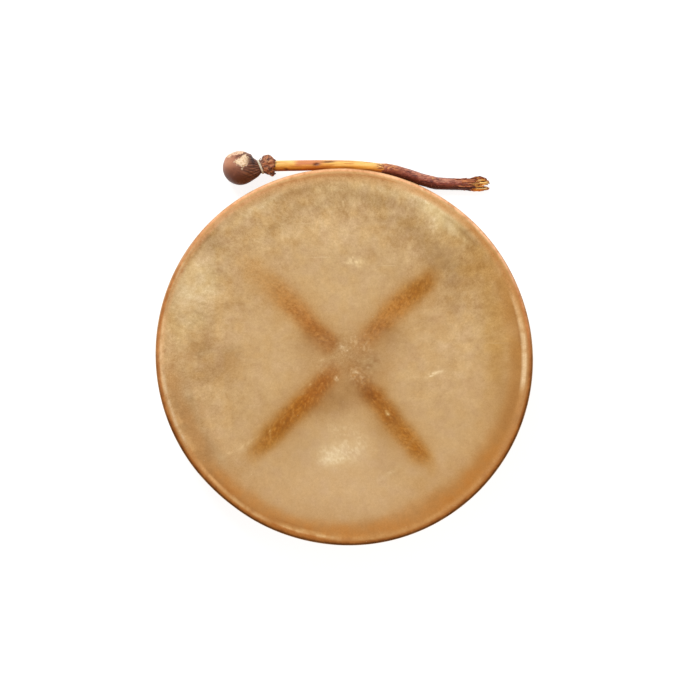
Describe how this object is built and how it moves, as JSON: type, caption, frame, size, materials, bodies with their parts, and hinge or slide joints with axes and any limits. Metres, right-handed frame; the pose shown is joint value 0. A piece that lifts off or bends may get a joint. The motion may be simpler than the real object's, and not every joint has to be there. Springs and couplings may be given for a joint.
{
  "type": "frame drum",
  "caption": "Round single-headed frame drum with a laced rawhide head, a wrapped cross grip behind and a leather-headed stick beater lying beside it.",
  "frame": {"origin": "centre of the back rim's resting plane", "axes": "+Z from the back rim towards the head; +Y towards the beater; +X along the beater, from its ball to its frayed end"},
  "size_m": [0.4068, 0.4268, 0.0627],
  "materials": {
    "bent_wood": "satin",
    "nail_steel": "satin",
    "rawhide_head": "satin",
    "rawhide_lace": "satin",
    "ring_steel": "satin",
    "wrap_leather": "satin",
    "sinew": "satin",
    "peeled_wood": "satin",
    "red_bark": "satin",
    "padding": "matte",
    "beater_leather": "satin",
    "cord": "matte"
  },
  "bodies": {
    "drum": {"hoop": "bent_wood", "scarf_nails": "nail_steel", "drumhead": "rawhide_head", "grip_ring": "ring_steel", "lace_ne": "rawhide_lace", "lace_nw": "rawhide_lace", "lace_sw": "rawhide_lace", "lace_se": "rawhide_lace", "arm_wrap_ne": "wrap_leather", "arm_wrap_nw": "wrap_leather", "arm_wrap_sw": "wrap_leather", "arm_wrap_se": "wrap_leather", "wrap_ties": "sinew", "tie_off_knot": "rawhide_lace"},
    "beater": {"beater_stick": "peeled_wood", "beater_bark": "red_bark", "beater_core": "padding", "beater_cover": "beater_leather", "beater_tie": "cord"}
  },
  "joints": [
    {"name": "beater_lift", "type": "slide", "parent": "drum", "child": "beater", "axis": [0, 0, 1], "range_m": [0, 0.25]}
  ]
}
